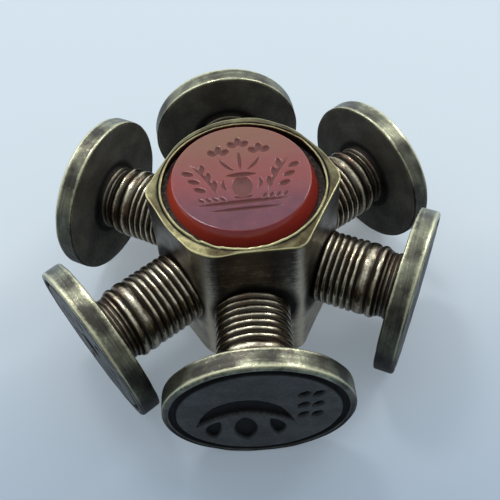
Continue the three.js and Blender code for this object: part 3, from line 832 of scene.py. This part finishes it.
def make_carnelian():
    """The stone: a straight foot, a sloping bevel and a flat face with the picture cut in."""
    soften = STONE_EDGE_SOFTENING
    rise = math.degrees(math.atan2(STONE_BEVEL_DROP, STONE_GIRDLE_RADIUS - STONE_FACE_RADIUS))
    profile = [(0, STONE_LOW_Z, 0, 0), (STONE_GIRDLE_RADIUS, STONE_LOW_Z, 0, 0),
               (STONE_GIRDLE_RADIUS, FACE_Z - STONE_BEVEL_DROP, 0, 0)]
    slope = [(STONE_GIRDLE_RADIUS + (STONE_FACE_RADIUS - STONE_GIRDLE_RADIUS) * i / 10,
              FACE_Z - STONE_BEVEL_DROP * (1 - i / 10), 0, 0) for i in range(1, 10)]
    edge = [(STONE_FACE_RADIUS + soften * math.cos(math.radians(rise)), FACE_Z - soften, 0, 0),
            (STONE_FACE_RADIUS - 0.3 * soften, FACE_Z - 0.2 * soften, 0, 0)]
    field = STONE_FACE_RADIUS - soften
    face = [(field * (1 - i / STONE_RINGS), FACE_Z, 0, 0) for i in range(STONE_RINGS)] + [(0, FACE_Z, 0, 0)]
    bm = bmesh.new()
    turned(bm, profile + slope + edge + face, STONE_STEPS)
    engrave(bm, stone_picture(STONE_FACE_RADIUS), FACE_Z, field - 0.05, STONE_CUT_DEPTH, STONE_CUT_WALL)
    x, y = polar(STONE_OFF_CENTRE, STONE_OFF_BEARING)
    piece = finished(bm, "carnelian_stone", [carnelian_stone], Matrix.Translation((x, y, 0)))
    stand_for(piece, "carnelian")


def make_cement():
    """The cement: a gritty bed under the stone that comes up round it, highest at the left."""
    outer = CEMENT_RADIUS
    inner = STONE_GIRDLE_RADIUS - 0.8
    profile = [(0, CEMENT_LOW_Z, 0, 1), (outer, CEMENT_LOW_Z, 0, 1), (outer, CEMENT_Z - 0.9, 0, 1)]
    for i in range(CEMENT_ROWS + 1):
        share = i / CEMENT_ROWS
        level = CEMENT_Z - 0.05 - 0.1 * math.sin(math.pi * share)
        profile.append((outer - (outer - inner) * share, level, 0, 1))
    profile += [(inner, CEMENT_Z - 0.3, 0, 1), (0, CEMENT_Z - 0.3, 0, 1)]
    bm = bmesh.new()
    turned(bm, profile, CEMENT_STEPS)
    middle, width, drop = CEMENT_HIGH_SIDE
    for vert in bm.verts:
        if vert.co.z > CEMENT_Z - 0.2:
            angle = math.atan2(vert.co.y, vert.co.x)
            vert.co.z += 0.07 * noise.noise(vert.co * 1.5) - 0.05 - drop * (1 - swell(angle, middle, width))
    piece = finished(bm, "cement_bed", [cement])
    stand_for(piece, "setting_cement")


make_hub()
make_bezel()
make_carnelian()
make_cement()


# The ground, the light and the camera

def make_ground():
    bm = bmesh.new()
    bmesh.ops.create_grid(bm, x_segments=1, y_segments=1, size=GROUND_HALF_WIDTH * MM)
    mesh = bpy.data.meshes.new("ground")
    bm.to_mesh(mesh)
    bm.free()
    mesh.materials.append(pale_paper())
    floor = bpy.data.objects.new("ground", mesh)
    bpy.context.scene.collection.objects.link(floor)


def add_lamp(name, position, size, power, colour):
    """A round soft lamp that shines on the stamp."""
    light = bpy.data.lights.new(name, "AREA")
    light.shape = "DISK"
    light.size = size
    light.energy = power
    light.color = linear(colour)[:3]
    lamp = bpy.data.objects.new(name, light)
    lamp.location = position
    lamp.rotation_euler = (-Vector(position)).to_track_quat("-Z", "Y").to_euler()
    bpy.context.scene.collection.objects.link(lamp)


# The lamps: place and width in metres, power in watts, and colour
LAMPS = {
    "left_window": ((-0.16, 0.12, 0.17), 0.08, 0.05, "#F4F7FF"),
    "right_window": ((0.17, 0.1, 0.19), 0.08, 0.16, "#FFFFFF"),
    "cloud_break": ((-0.07, 0.14, 0.3), 0.07, 0.24, "#FFFFFF"),
}
SKY_BRIGHT_WAY = (0, 0.8, 0.35)
SKY_DIM = 0.4
SKY_BRIGHT = 1.75


def light_scene():
    """An overcast sky, a little blue: bright behind and above and dim in front, with three soft lamps behind.

    The lamps stand clear of the directions that the stone's flat face mirrors. The Standard view shows the
    colours as they are given.
    """
    world = bpy.data.worlds.new("overcast")
    world.use_nodes = True
    tree = world.node_tree
    background = tree.nodes["Background"]
    direction = add_node(tree, "ShaderNodeTexCoord").outputs["Generated"]
    behind = add_node(tree, "ShaderNodeVectorMath", {0: direction, 1: SKY_BRIGHT_WAY},
                      operation="DOT_PRODUCT")
    glow = add_node(tree, "ShaderNodeMapRange", {"Value": behind.outputs["Value"], "From Min": -0.45,
                                                 "From Max": 0.8, "To Min": SKY_DIM, "To Max": SKY_BRIGHT})
    tree.links.new(glow.outputs[0], background.inputs["Strength"])
    background.inputs["Color"].default_value = linear("#E2EAF4")
    bpy.context.scene.world = world
    bpy.context.scene.view_settings.view_transform = "Standard"
    for name, (position, size, power, colour) in LAMPS.items():
        add_lamp(name, position, size, power, colour)


# The photograph's camera, fitted to the discs' outlines: it looks from the front, well above the stamp.
# Lengths are in millimetres and angles in degrees.
CAMERA_DISTANCE = 65.19
CAMERA_ELEVATION = 52.456
CAMERA_TURN = -1.95
CAMERA_ROLL = -4.14
CAMERA_AIM_Z = 7.65
CAMERA_LENS = 51.78
CAMERA_SHIFT = (0.0051, -0.0146)


def make_camera():
    turn = Matrix.Rotation(math.radians(CAMERA_TURN), 3, "Z")
    tilt = math.radians(CAMERA_ELEVATION)
    roll = math.radians(CAMERA_ROLL)
    level = turn @ Vector((1, 0, 0))
    forward = turn @ Vector((0, math.cos(tilt), -math.sin(tilt)))
    upright = level.cross(forward)
    right = math.cos(roll) * level + math.sin(roll) * upright
    up = -math.sin(roll) * level + math.cos(roll) * upright
    position = Vector((0, 0, CAMERA_AIM_Z)) - forward * CAMERA_DISTANCE
    data = bpy.data.cameras.new("photo_camera")
    data.sensor_width = 36
    data.lens = CAMERA_LENS
    data.shift_x, data.shift_y = CAMERA_SHIFT
    data.clip_start = MM
    camera = bpy.data.objects.new("photo_camera", data)
    rotation = Matrix((right, up, -forward)).transposed().to_4x4()
    camera.matrix_world = Matrix.Translation(position * MM) @ rotation
    bpy.context.scene.collection.objects.link(camera)
    bpy.context.scene.camera = camera


make_ground()
light_scene()
make_camera()
